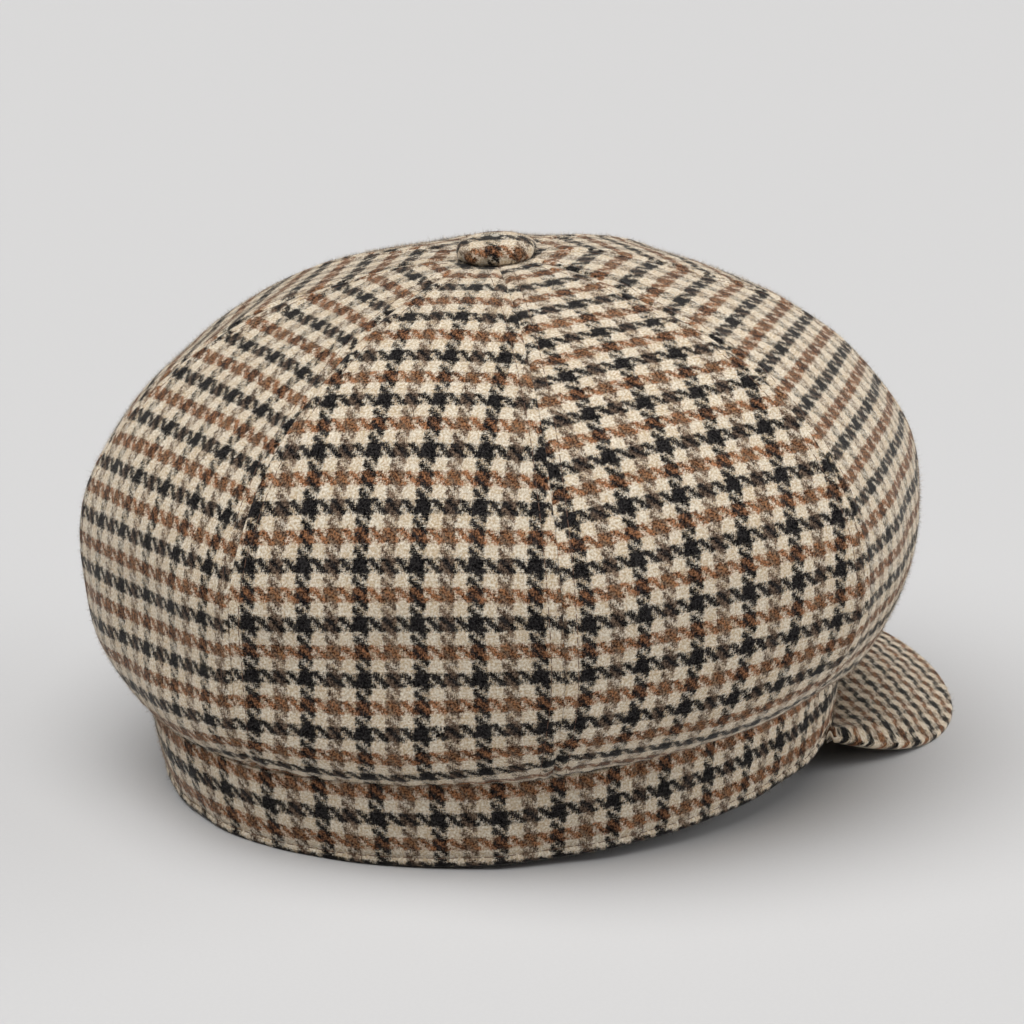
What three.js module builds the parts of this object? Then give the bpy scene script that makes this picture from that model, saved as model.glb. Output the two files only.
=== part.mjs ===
import * as THREE from 'three';

// Baker boy cap in checked tweed: eight crown panels, a head band, a peak and a covered button.
// Millimetres, +Z up, the front of the cap toward -Y and the wearer's right toward -X.

// Head band: an oval ring of folded cloth, a little wider at its top than at its hem.
const band = {
  halfWidth: 92.1,
  halfLength: 101.4,
  height: 24.9,
  flare: 3.8,
  wall: 3.0,
  fold: 1.0,
  steps: 96,
};

// Crown: eight gores that swell out over the band and meet under the button.
const crown = {
  panels: 8,
  halfWidth: 122.3,
  frontReach: 120.6,
  backReach: 117.7,
  widestHeight: 65.0,
  topHeight: 140.5,
  forward: 4.15,
  topForward: 6.0,
  lowerRoundness: 1.82,
  flatness: 0.59,
  wall: 2.0,
  turnIn: 1.6,
  topHole: 5.0,
  lowerSteps: 8,
  upperSteps: 16,
  acrossSteps: 8,
};

// Peak: a stiff crescent, arched across its width and sloping down to its front edge.
const peak = {
  rootHalfAngle: 66,
  outlineHalfAngle: 106,
  outlineHalfWidth: 96.0,
  outlineReach: 87.8,
  outlineCentre: -69.5,
  rootHeight: 1.0,
  slope: 0.208,
  arch: 0.00197,
  swell: 2.0,
  cornerShare: 0.35,
  cornerLift: 2.4,
  cornerPower: 14,
  thickness: 3.6,
  acrossSteps: 40,
  alongSteps: 8,
};

// Button: a low dome with a rounded rim.
const button = {
  radius: 11.3,
  height: 4.6,
  rim: 1.6,
  steps: 32,
};

// Pose of the cap lying on its band's back and its peak's edge, and the gap left along each seam.
const lean = THREE.MathUtils.degToRad(4.24);
const flattened = 0.5;
const seamGap = 0.3;

const tweed = { color: 0x8f8271, roughness: 0.92, metalness: 0.0 };

const panelAngle = (2 * Math.PI) / crown.panels;

// Radius of an oval toward a compass angle, 0 at the front and turning to the wearer's right.
function ovalRadius(angle, halfWidth, frontReach, backReach) {
  const reach = Math.cos(angle) > 0 ? frontReach : backReach;
  return 1 / Math.hypot(Math.sin(angle) / halfWidth, Math.cos(angle) / reach);
}

function onCompass(angle, radius, height, forward = 0) {
  return new THREE.Vector3(-radius * Math.sin(angle), -radius * Math.cos(angle) - forward, height);
}

function bandRadius(angle, height) {
  const wider = band.flare * (height / band.height);
  const reach = band.halfLength + wider;
  return ovalRadius(angle, band.halfWidth + wider, reach, reach);
}

// Moves a point of the upright cap to where it lies on the floor; cloth below the floor is pressed flat.
function atRest(point) {
  const y = point.y - band.halfLength;
  const raised = -y * Math.sin(lean) + point.z * Math.cos(lean) - flattened;
  const along = band.halfLength + y * Math.cos(lean) + point.z * Math.sin(lean);
  return new THREE.Vector3(point.x, along, Math.max(0, raised));
}

// Radius and height of the crown's outside at a compass angle; rise runs from -90 degrees at the
// band through 0 at the widest level to 90 degrees at the top.
function crownSection(angle, rise) {
  const base = bandRadius(angle, band.height) - crown.turnIn;
  const widest = ovalRadius(angle, crown.halfWidth, crown.frontReach, crown.backReach);
  const foot = band.height + seamGap;
  const power = rise < 0 ? 2 / crown.lowerRoundness : 1;
  const out = Math.abs(Math.cos(rise)) ** power;
  const up = Math.abs(Math.sin(rise)) ** power;
  const fromMiddle = (((angle % panelAngle) + panelAngle) % panelAngle) - panelAngle / 2;
  const chord = Math.cos(panelAngle / 2) / Math.cos(fromMiddle);
  const flat = crown.flatness * (rise < 0 ? 1 - up : 1);
  const drawnIn = 1 - flat * (1 - chord);
  if (rise < 0) {
    const height = crown.widestHeight - (crown.widestHeight - foot) * up;
    return { radius: (base + (widest - base) * out) * drawnIn, height };
  }
  const height = crown.widestHeight + (crown.topHeight - crown.widestHeight) * up;
  return { radius: widest * out * drawnIn, height };
}

// How far the crown's middle stands in front of the band's middle at a height.
function crownForward(height) {
  const below = THREE.MathUtils.smootherstep(height, band.height, crown.widestHeight);
  const above = THREE.MathUtils.smootherstep(height, crown.widestHeight, crown.topHeight);
  return crown.forward * below + (crown.topForward - crown.forward) * above;
}

// A point of the crown's wall, depth millimetres inside its outer face.
function crownPoint(angle, rise, depth) {
  const step = 0.002;
  const here = crownSection(angle, rise);
  const below = crownSection(angle, Math.max(rise - step, -Math.PI / 2));
  const above = crownSection(angle, Math.min(rise + step, Math.PI / 2));
  const outward = new THREE.Vector2(above.height - below.height, below.radius - above.radius).normalize();
  const radius = here.radius - depth * outward.x;
  const height = here.height - depth * outward.y;
  return onCompass(angle, radius, height, crownForward(here.height));
}

// Solid through closed loops of points laid one after another, capped at both ends or joined to itself.
function loftedSolid(loops, joined) {
  const size = loops[0].length;
  const points = loops.flat();
  const faces = [];
  const spans = joined ? loops.length : loops.length - 1;
  for (let i = 0; i < spans; i += 1) {
    const a = i * size;
    const b = ((i + 1) % loops.length) * size;
    for (let j = 0; j < size; j += 1) {
      const k = (j + 1) % size;
      faces.push(a + j, b + j, b + k, a + j, b + k, a + k);
    }
  }
  if (!joined) {
    const last = (loops.length - 1) * size;
    for (let j = 0; j < size / 2 - 1; j += 1) {
      const k = size - 1 - j;
      faces.push(j, j + 1, k, j + 1, k - 1, k);
      faces.push(last + j, last + k, last + j + 1, last + j + 1, last + k, last + k - 1);
    }
  }
  return solidFrom(points, faces);
}

function solidFrom(points, faces) {
  let volume = 0;
  for (let i = 0; i < faces.length; i += 3) {
    const [a, b, c] = [points[faces[i]], points[faces[i + 1]], points[faces[i + 2]]];
    volume += a.dot(b.clone().cross(c));
  }
  const outward = volume < 0 ? faces.slice().reverse() : faces;
  const geometry = new THREE.BufferGeometry().setFromPoints(points);
  geometry.setIndex(outward);
  geometry.computeVertexNormals();
  return geometry;
}

// One gore between two seams: each loop runs across its outer face and back across its inner face.
function crownPanel(number) {
  const middle = (number + 0.5) * panelAngle;
  const loops = [];
  for (let i = -crown.lowerSteps; i <= crown.upperSteps; i += 1) {
    const steps = i < 0 ? crown.lowerSteps : crown.upperSteps;
    const top = Math.acos(crown.topHole / crown.halfWidth);
    const rise = (i / steps) * (i < 0 ? Math.PI / 2 : top);
    const edge = panelAngle / 2 - Math.asin(seamGap / 2 / crownSection(middle, rise).radius);
    const outer = [];
    const inner = [];
    for (let j = 0; j <= crown.acrossSteps; j += 1) {
      const angle = middle + edge * ((2 * j) / crown.acrossSteps - 1);
      outer.push(atRest(crownPoint(angle, rise, 0)));
      inner.unshift(atRest(crownPoint(angle, rise, crown.wall)));
    }
    loops.push([...outer, ...inner]);
  }
  return loftedSolid(loops, false);
}

// The band's cross-section, from the hem's inner side round to the top edge.
function headBand() {
  const { wall, fold, height } = band;
  const corner = fold * (1 - Math.SQRT1_2);
  const section = [
    { inside: fold, up: 0 },
    { inside: corner, up: corner },
    { inside: 0, up: fold },
    { inside: 0, up: height / 2 },
    { inside: 0, up: height - fold / 2 },
    { inside: fold / 2, up: height },
    { inside: wall - fold / 2, up: height },
    { inside: wall, up: height - fold / 2 },
    { inside: wall, up: fold },
    { inside: wall - fold, up: 0 },
  ];
  const loops = [];
  for (let i = 0; i < band.steps; i += 1) {
    const angle = (i / band.steps) * 2 * Math.PI;
    loops.push(section.map((s) => atRest(onCompass(angle, bandRadius(angle, s.up) - s.inside, s.up))));
  }
  return loftedSolid(loops, true);
}

// Height of the middle of the peak's thickness above the band's hem; its two corners are drawn up a little.
function peakHeight(place, along, corner) {
  const lowered = peak.arch * place.x * place.x + peak.slope * (-place.y - band.halfLength);
  return peak.rootHeight - lowered + peak.swell * Math.sin(Math.PI * along) + peak.cornerLift * corner;
}

// Cross-section of the peak from its root, along its upper face, round its edge and back beneath.
function peakLoop(share) {
  const half = peak.thickness / 2;
  const corner = Math.abs(share) ** peak.cornerPower;
  const rootAngle = THREE.MathUtils.degToRad(peak.rootHalfAngle) * share;
  const edgeAngle = THREE.MathUtils.degToRad(peak.outlineHalfAngle) * share;
  const rootTop = peak.rootHeight + half + peak.cornerLift * corner;
  const root = onCompass(rootAngle, bandRadius(rootAngle, rootTop) + seamGap, 0);
  const outline = new THREE.Vector3(
    -peak.outlineHalfWidth * Math.sin(edgeAngle),
    peak.outlineCentre - peak.outlineReach * Math.cos(edgeAngle),
    0,
  );
  const rim = root.clone().lerp(outline, 1 - (1 - peak.cornerShare) * corner);
  const outward = rim.clone().sub(root).normalize();
  const edge = rim.clone().addScaledVector(outward, -half);
  const upper = [];
  const lower = [];
  for (let i = 0; i <= peak.alongSteps; i += 1) {
    const along = i / peak.alongSteps;
    const place = root.clone().lerp(edge, along);
    const middle = peakHeight(place, along, corner);
    upper.push(place.clone().setZ(middle + half));
    lower.unshift(place.clone().setZ(middle - half));
  }
  const edgeHeight = peakHeight(edge, 1, corner);
  const rounded = [60, 20, -20, -60].map((degrees) => {
    const turn = THREE.MathUtils.degToRad(degrees);
    const place = edge.clone().addScaledVector(outward, half * Math.cos(turn));
    return place.setZ(edgeHeight + half * Math.sin(turn));
  });
  return [...upper, ...rounded, ...lower].map(atRest);
}

function stiffPeak() {
  const loops = [];
  for (let i = 0; i <= peak.acrossSteps; i += 1) {
    loops.push(peakLoop((2 * i) / peak.acrossSteps - 1));
  }
  return loftedSolid(loops, false);
}

// Dome turned about the crown's axis, sitting just above the point where the panels meet.
function coveredButton() {
  const foot = crown.topHeight + seamGap;
  const section = [{ radius: button.radius - button.rim, up: 0 }];
  for (const degrees of [-45, 0, 20, 40, 60, 78]) {
    const turn = THREE.MathUtils.degToRad(degrees);
    const dome = degrees > 0 ? button.height - button.rim : button.rim;
    const core = degrees > 0 ? 0 : button.radius - button.rim;
    const reach = core + (button.radius - core) * Math.cos(turn);
    section.push({ radius: reach, up: button.rim + dome * Math.sin(turn) });
  }
  const points = [];
  for (const s of section) {
    for (let i = 0; i < button.steps; i += 1) {
      const angle = (i / button.steps) * 2 * Math.PI;
      points.push(atRest(onCompass(angle, s.radius, foot + s.up, crown.topForward)));
    }
  }
  const under = points.push(atRest(onCompass(0, 0, foot, crown.topForward))) - 1;
  const top = points.push(atRest(onCompass(0, 0, foot + button.height, crown.topForward))) - 1;
  const faces = [];
  for (let j = 0; j < button.steps; j += 1) {
    const k = (j + 1) % button.steps;
    for (let i = 0; i + 1 < section.length; i += 1) {
      const a = i * button.steps;
      const b = a + button.steps;
      faces.push(a + j, b + j, b + k, a + j, b + k, a + k);
    }
    const last = (section.length - 1) * button.steps;
    faces.push(under, j, k, last + j, top, last + k);
  }
  return solidFrom(points, faces);
}

const cap = new THREE.Group();
cap.name = 'baker_boy_cap';

function addPiece(name, geometry) {
  const material = new THREE.MeshStandardMaterial(tweed);
  material.name = 'tweed';
  const mesh = new THREE.Mesh(geometry, material);
  mesh.name = name;
  cap.add(mesh);
}

for (let i = 0; i < crown.panels; i += 1) {
  const onRight = i < crown.panels / 2;
  const place = onRight ? `right_${i + 1}` : `left_${crown.panels - i}`;
  addPiece(`crown_panel_${place}`, crownPanel(i));
}
addPiece('band', headBand());
addPiece('peak', stiffPeak());
addPiece('button', coveredButton());

// The frame's origin is under the middle of the whole cap, on the floor.
const whole = new THREE.Box3().setFromObject(cap);
const middle = whole.getCenter(new THREE.Vector3());
cap.position.set(-middle.x, -middle.y, -whole.min.z);

export default cap;
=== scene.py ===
"""Baker boy cap in gun-club tweed: crown panels, band, peak and covered button, with their sewing and nap.

Sizes of the cap are in millimetres on the upright cap, with its peak toward -Y and its hem at height 0.
Rest.place turns them into metres where the cap lies.
"""
import logging
import math
from dataclasses import dataclass, field
from enum import Enum

import bpy
import numpy as np
from bpy.types import Material, Node, NodeSocket, Object, ShaderNodeTree
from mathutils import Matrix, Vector


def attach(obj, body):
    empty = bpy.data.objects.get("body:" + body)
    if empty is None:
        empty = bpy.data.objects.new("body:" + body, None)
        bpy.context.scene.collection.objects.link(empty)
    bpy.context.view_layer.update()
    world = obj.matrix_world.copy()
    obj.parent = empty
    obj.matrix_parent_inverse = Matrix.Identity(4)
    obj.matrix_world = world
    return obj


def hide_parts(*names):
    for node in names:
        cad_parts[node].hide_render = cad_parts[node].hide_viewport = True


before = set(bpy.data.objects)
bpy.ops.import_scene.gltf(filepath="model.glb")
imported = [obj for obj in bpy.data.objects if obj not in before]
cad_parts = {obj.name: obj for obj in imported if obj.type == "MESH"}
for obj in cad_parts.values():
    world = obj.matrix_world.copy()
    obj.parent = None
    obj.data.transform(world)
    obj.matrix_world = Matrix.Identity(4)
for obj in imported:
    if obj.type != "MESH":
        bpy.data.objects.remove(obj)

LOG = logging.getLogger("baker_boy_cap")
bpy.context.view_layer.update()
BODY = "root"
CLOTH_MAP = "cloth"
THREAD_MAP = "thread"
SHARP_ANGLE = math.radians(60)


class Hold(Enum):
    """How a sheet of cloth is kept in shape."""

    STRETCHED = "stretched"


class Side(Enum):
    """The wearer's side that a crown panel lies on."""

    RIGHT = "right"
    LEFT = "left"


def oval_radius(angle: np.ndarray, half_width: float, front: float, back: float) -> np.ndarray:
    """Radius of an oval toward a compass angle.

    Args:
        angle: radians, 0 at the front and turning to the wearer's right.
        half_width: the oval's reach to the sides.
        front: its reach to the front.
        back: its reach to the back.

    Returns:
        The radius at each angle.
    """
    reach = np.where(np.cos(angle) > 0, front, back)
    return 1 / np.hypot(np.sin(angle) / half_width, np.cos(angle) / reach)


def on_compass(angle: np.ndarray, radius: np.ndarray, height: np.ndarray,
               forward: np.ndarray) -> np.ndarray:
    """Points at a compass angle.

    Args:
        angle: radians, 0 at the front and turning to the wearer's right.
        radius: distance from the axis.
        height: height above the hem.
        forward: how far the axis stands in front of the band's middle.

    Returns:
        Array of points, with X, Y and Z last.
    """
    x, y, z = -radius * np.sin(angle), -radius * np.cos(angle) - forward, height
    return np.stack(np.broadcast_arrays(x, y, z), axis=-1)


def eased(value: np.ndarray, low: float, high: float) -> np.ndarray:
    """Rises from 0 at low to 1 at high, level at both ends.

    Args:
        value: where to read the curve.
        low: the value below which it is 0.
        high: the value above which it is 1.

    Returns:
        The curve at each value.
    """
    t = np.clip((value - low) / (high - low), 0, 1)
    return t * t * t * (t * (6 * t - 15) + 10)


def hump(value: np.ndarray, middle: float, breadth: float) -> np.ndarray:
    """A smooth hump of height 1 at middle, fading over breadth."""
    return np.exp(-(((value - middle) / breadth) ** 2))


def net_normals(points: np.ndarray) -> np.ndarray:
    """Unit normals of a net whose columns run to the right and rows run up, seen from outside.

    Args:
        points: rows x columns x 3.

    Returns:
        Array of the same shape.
    """
    across = np.gradient(points, axis=1)
    up = np.gradient(points, axis=0)
    normal = np.cross(across, up)
    return normal / np.maximum(np.linalg.norm(normal, axis=-1, keepdims=True), 1e-12)


def path_lengths(points: np.ndarray) -> np.ndarray:
    """Distance travelled along a line of points, 0 at its first."""
    steps = np.linalg.norm(np.diff(points, axis=0), axis=-1)
    return np.concatenate([[0.0], np.cumsum(steps)])


def link(thing: Object) -> Object:
    """Puts a new object in the scene."""
    bpy.context.scene.collection.objects.link(thing)
    return thing


@dataclass(frozen=True)
class Rest:
    """How the cap lies: on the back of its hem and the edge of its peak, the hem pressed flat there.

    Attributes:
        lean: angle that the front is raised by, in degrees.
        hinge: the back of the hem, along Y, on which it leans.
        flattened: how much of the hem is pressed flat.
        middle_shift: how far the cap is moved back, so that its box stands in the middle.
    """

    lean: float = 4.24
    hinge: float = 101.4
    flattened: float = 0.5
    middle_shift: float = 19.386

    def place(self, points: np.ndarray) -> np.ndarray:
        """Lays points of the upright cap on the floor.

        Args:
            points: array ending in X, Y, Z, in millimetres.

        Returns:
            The same points in metres, in the frame of the solids.
        """
        lean = math.radians(self.lean)
        y = points[..., 1] - self.hinge
        z = points[..., 2]
        along = self.hinge + self.middle_shift + y * math.cos(lean) + z * math.sin(lean)
        raised = np.maximum(0, z * math.cos(lean) - y * math.sin(lean) - self.flattened)
        return np.stack([points[..., 0], along, raised], axis=-1) / 1000


@dataclass(frozen=True)
class Unevenness:
    """Slow swells of pressed cloth, the same at a place whichever panel it is on.

    Attributes:
        swell: their height.
        shortest: length of the shortest wave.
        longest: length of the longest.
        waves: how many are laid on each other.
        seed: start of the random numbers.
    """

    swell: float = 0.35
    shortest: float = 22.0
    longest: float = 75.0
    waves: int = 16
    seed: int = 7

    def at(self, points: np.ndarray) -> np.ndarray:
        """Height of the swell.

        Args:
            points: array ending in X, Y, Z, in millimetres.

        Returns:
            The swell at each point, in millimetres.
        """
        rng = np.random.default_rng(self.seed)
        total = np.zeros(points.shape[:-1])
        for _ in range(self.waves):
            direction = rng.normal(size=3)
            direction /= np.linalg.norm(direction)
            length = rng.uniform(self.shortest, self.longest)
            total += np.sin(points @ direction * 2 * math.pi / length + rng.uniform(0, 2 * math.pi))
        return total * self.swell / math.sqrt(self.waves / 2)


@dataclass
class ClothFace:
    """One face of a cloth piece as a net of crossings.

    Attributes:
        points: rows x columns x 3, columns to the right and rows up seen from outside.
        flat: rows x columns x 2, each crossing's place across and along the uncut cloth.
    """

    points: np.ndarray
    flat: np.ndarray


class Sewn:
    """Collects nets of points and joins them into the mesh of one piece."""

    def __init__(self, name: str) -> None:
        """Starts an empty piece with a name."""
        self.name = name
        self.points: list[np.ndarray] = []
        self.faces: list[np.ndarray] = []
        self.corners: list[np.ndarray] = []
        self.count = 0

    def lay(self, points: np.ndarray) -> np.ndarray:
        """Adds points.

        Args:
            points: array of any shape ending in X, Y, Z, in metres.

        Returns:
            The points' numbers, in the same shape.
        """
        flat = points.reshape(-1, 3)
        numbers = np.arange(self.count, self.count + len(flat)).reshape(points.shape[:-1])
        self.points.append(flat)
        self.count += len(flat)
        return numbers

    def net(self, numbers: np.ndarray, flat: np.ndarray) -> None:
        """Adds a four-cornered face for each mesh of a net.

        Args:
            numbers: point numbers, rows and columns last.
            flat: map places, rows, columns and 2 last.
        """
        low, high = slice(None, -1), slice(1, None)
        ring = ((low, low), (low, high), (high, high), (high, low))
        quads = np.stack([numbers[..., r, c] for r, c in ring], axis=-1)
        corners = np.stack([flat[..., r, c, :] for r, c in ring], axis=-2)
        self.faces.append(quads.reshape(-1, 4))
        self.corners.append(corners.reshape(-1, 4, 2))

    def fans(self, triples: np.ndarray, flat: np.ndarray) -> None:
        """Adds three-cornered faces.

        Args:
            triples: faces x 3 of point numbers.
            flat: faces x 3 x 2 of map places.
        """
        self.faces.append(triples)
        self.corners.append(flat)

    def cap(self, ring: np.ndarray, flat: np.ndarray, pole: np.ndarray, tip: np.ndarray,
            last: bool) -> None:
        """Closes one end of a net with a fan of faces.

        Args:
            ring: point numbers of the end, with its first again at its end.
            flat: their map places.
            pole: number of the fan's point.
            tip: that point's map place on each face.
            last: whether the end is the net's last row.
        """
        here, there = slice(None, -1), slice(1, None)
        first, second = (here, there) if last else (there, here)
        poles = np.broadcast_to(pole, ring[..., here].shape)
        triples = np.stack([ring[..., first], ring[..., second], poles], axis=-1)
        places = np.stack([flat[..., first, :], flat[..., second, :], tip], axis=-2)
        self.fans(triples.reshape(-1, 3), places.reshape(-1, 3, 2))

    def finish(self, material: Material, map_name: str = CLOTH_MAP) -> Object:
        """Makes the object, riding on the cap's body.

        Args:
            material: the finish it wears.
            map_name: name of its map.

        Returns:
            The new object.
        """
        mesh = bpy.data.meshes.new(self.name)
        faces = [face for group in self.faces for face in group.tolist()]
        mesh.from_pydata(np.concatenate(self.points).tolist(), [], faces)
        places = np.concatenate([group.reshape(-1, 2) for group in self.corners])
        layer = mesh.uv_layers.new(name=map_name)
        layer.data.foreach_set("uv", places.astype(np.float32).ravel())
        mesh.shade_smooth()
        mesh.set_sharp_from_angle(angle=SHARP_ANGLE)
        mesh.materials.append(material)
        piece = link(bpy.data.objects.new(self.name, mesh))
        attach(piece, BODY)
        LOG.info("%s: %d faces", self.name, len(faces))
        return piece


def sew_shell(name: str, outer: ClothFace, inner: ClothFace, material: Material) -> Object:
    """Joins an outer and an inner face of the same net into a closed wall.

    Args:
        name: the piece's name.
        outer: the outer face, in metres.
        inner: the inner face, in metres, crossing by crossing behind the outer one.
        material: the finish it wears.

    Returns:
        The new object.
    """
    sewn = Sewn(name)
    front = sewn.lay(outer.points)
    back = sewn.lay(inner.points)
    sewn.net(front, outer.flat)
    sewn.net(back[:, ::-1], inner.flat[:, ::-1])
    sewn.net(np.stack([back[0], front[0]]), np.stack([inner.flat[0], outer.flat[0]]))
    sewn.net(np.stack([front[-1], back[-1]]), np.stack([outer.flat[-1], inner.flat[-1]]))
    for edge, order in ((-1, (0, 1)), (0, (1, 0))):
        numbers = (front[:, edge], back[:, edge])
        flats = (outer.flat[:, edge], inner.flat[:, edge])
        sewn.net(np.stack([numbers[i] for i in order], 1), np.stack([flats[i] for i in order], 1))
    return sewn.finish(material)


class NodeDesk:
    """Places nodes in a shader tree and joins them."""

    def __init__(self, tree: ShaderNodeTree) -> None:
        """Works on a tree."""
        self.tree = tree

    def add(self, kind: str, **settings: object) -> Node:
        """Adds a node.

        Args:
            kind: the node's type.
            settings: its properties.

        Returns:
            The node.
        """
        node = self.tree.nodes.new(kind)
        for name, value in settings.items():
            setattr(node, name, value)
        return node

    def feed(self, socket: NodeSocket, value: object) -> None:
        """Joins another socket to this one, or sets its own value.

        Args:
            socket: the input.
            value: a socket, or a number, vector or colour.
        """
        if isinstance(value, NodeSocket):
            self.tree.links.new(value, socket)
        else:
            socket.default_value = value

    def fill(self, node: Node, terms: dict[str, object]) -> None:
        """Feeds a node's inputs by their names."""
        for name, term in terms.items():
            self.feed(node.inputs[name], term)

    def math(self, operation: str, *terms: object) -> NodeSocket:
        """Adds a sum of one to three terms.

        Args:
            operation: a Math node's operation.
            terms: sockets or numbers.

        Returns:
            The result's socket.
        """
        node = self.add("ShaderNodeMath", operation=operation)
        for socket, term in zip(node.inputs, terms):
            self.feed(socket, term)
        return node.outputs[0]

    def vector(self, x: object, y: object) -> NodeSocket:
        """A vector from two terms, with 0 as its third."""
        node = self.add("ShaderNodeCombineXYZ")
        self.fill(node, {"X": x, "Y": y})
        return node.outputs[0]

    def split(self, vector: NodeSocket) -> tuple[NodeSocket, NodeSocket]:
        """The first two terms of a vector."""
        node = self.add("ShaderNodeSeparateXYZ")
        self.feed(node.inputs[0], vector)
        return node.outputs[0], node.outputs[1]

    def choose(self, factor: object, first: object, second: object) -> NodeSocket:
        """A number between two, first at factor 0 and second at 1.

        Args:
            factor: socket or number.
            first: socket or number.
            second: socket or number.

        Returns:
            The result's socket.
        """
        node = self.add("ShaderNodeMix", data_type="FLOAT")
        for index, term in ((0, factor), (2, first), (3, second)):
            self.feed(node.inputs[index], term)
        return node.outputs[0]

    def blend(self, factor: object, first: object, second: object, kind: str = "MIX") -> NodeSocket:
        """A colour between two, first at factor 0 and second at 1.

        Args:
            factor: socket or number.
            first: socket or colour.
            second: socket or colour.
            kind: how the second colour is laid on the first.

        Returns:
            The result's socket.
        """
        node = self.add("ShaderNodeMix", data_type="RGBA", blend_type=kind)
        for index, term in ((0, factor), (6, first), (7, second)):
            self.feed(node.inputs[index], term)
        return node.outputs[2]

    def noise(self, place: NodeSocket, scale: float, detail: float = 1.0,
              roughness: float = 0.5) -> Node:
        """Adds a two-way noise.

        Args:
            place: where to read it.
            scale: bumps per unit of place.
            detail: finer steps laid on it.
            roughness: strength of each finer step beside the one before.

        Returns:
            The noise node.
        """
        node = self.add("ShaderNodeTexNoise", noise_dimensions="2D")
        self.fill(node, {"Vector": place, "Scale": scale, "Detail": detail, "Roughness": roughness})
        return node

    def remap(self, value: object, low: float, high: float, start: float, end: float) -> NodeSocket:
        """Maps a range of numbers to another and holds its ends.

        Args:
            value: socket to map.
            low: number that becomes start.
            high: number that becomes end.
            start: result at low.
            end: result at high.

        Returns:
            The result's socket.
        """
        node = self.add("ShaderNodeMapRange", clamp=True)
        for index, term in enumerate((value, low, high, start, end)):
            self.feed(node.inputs[index], term)
        return node.outputs[0]

    def bump(self, height: NodeSocket, strength: float, distance: float) -> NodeSocket:
        """A normal that leans with a height.

        Args:
            height: the height.
            strength: how much of it counts.
            distance: size of a height of 1, in metres.

        Returns:
            The normal's socket.
        """
        node = self.add("ShaderNodeBump")
        self.fill(node, {"Strength": strength, "Distance": distance, "Height": height})
        return node.outputs["Normal"]


def open_group(name: str, inputs: dict[str, str], outputs: dict[str, str]) -> tuple[NodeDesk, Node, Node]:
    """Starts a shader group with named sockets.

    Args:
        name: the group's name.
        inputs: kind of each input, by its name.
        outputs: kind of each output, by its name.

    Returns:
        A desk on the group's tree, its input node and its output node.
    """
    tree = bpy.data.node_groups.new(name, "ShaderNodeTree")
    for way, sockets in (("INPUT", inputs), ("OUTPUT", outputs)):
        for socket, kind in sockets.items():
            tree.interface.new_socket(socket, in_out=way, socket_type=f"NodeSocket{kind}")
    desk = NodeDesk(tree)
    return desk, desk.add("NodeGroupInput"), desk.add("NodeGroupOutput")


def linear(colour: tuple[int, int, int]) -> tuple[float, float, float, float]:
    """Turns an 8-bit screen colour into the linear colour that shaders take.

    Args:
        colour: red, green and blue from 0 to 255.

    Returns:
        Red, green, blue and 1.
    """
    shares = [c / 255 for c in colour]
    red, green, blue = (c / 12.92 if c <= 0.04045 else ((c + 0.055) / 1.055) ** 2.4 for c in shares)
    return red, green, blue, 1.0


@dataclass(frozen=True)
class Yarn:
    """A woollen yarn spun from lighter and darker fibres.

    Attributes:
        light: screen colour of its light fibres.
        dark: screen colour of its dark fibres.
        cover: how much it spreads over its neighbours, 0 to 1.
    """

    light: tuple[int, int, int]
    dark: tuple[int, int, int]
    cover: float


CREAM = Yarn(light=(224, 216, 201), dark=(194, 172, 141), cover=0.0)
BLACK = Yarn(light=(45, 43, 43), dark=(2, 2, 3), cover=1.0)
TAN = Yarn(light=(164, 114, 79), dark=(46, 29, 21), cover=0.8)
DARK_BROWN = Yarn(light=(130, 109, 91), dark=(49, 38, 33), cover=0.5)


@dataclass(frozen=True)
class ClothFinish:
    """How the cloth of some of the pieces is worked.

    Attributes:
        name: the finish's name.
        slant_spread: how much higher a yarn of full cover lies as seen along the cloth,
            where the pale yarn's full nap hides the dark.
        slant_painted_sheen: share of a pale painted sheen over all yarns, as seen along the cloth.
        weft_lift: how much higher the weft lies than the warp, in yarn heights.
        slant_lift: the same, as seen along the cloth.
    """

    name: str
    slant_spread: float
    slant_painted_sheen: float
    weft_lift: float
    slant_lift: float


OPEN_NAP = ClothFinish("gun_club_tweed", slant_spread=-0.6, slant_painted_sheen=0.02, weft_lift=0.0, slant_lift=0.65)
# The band's copy is pressed cloth, and is also darker at slants as painted shade of the crown's overhang:
# it has no painted sheen and its dark yarns stay on top.
PRESSED_SHADED_NAP = ClothFinish("pressed_shaded_tweed", slant_spread=0.2, slant_painted_sheen=0.0, weft_lift=0.0, slant_lift=0.4)
DRAWN_TIGHT = ClothFinish("drawn_tweed", slant_spread=-0.4, slant_painted_sheen=0.02, weft_lift=0.5, slant_lift=0.5)


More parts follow.
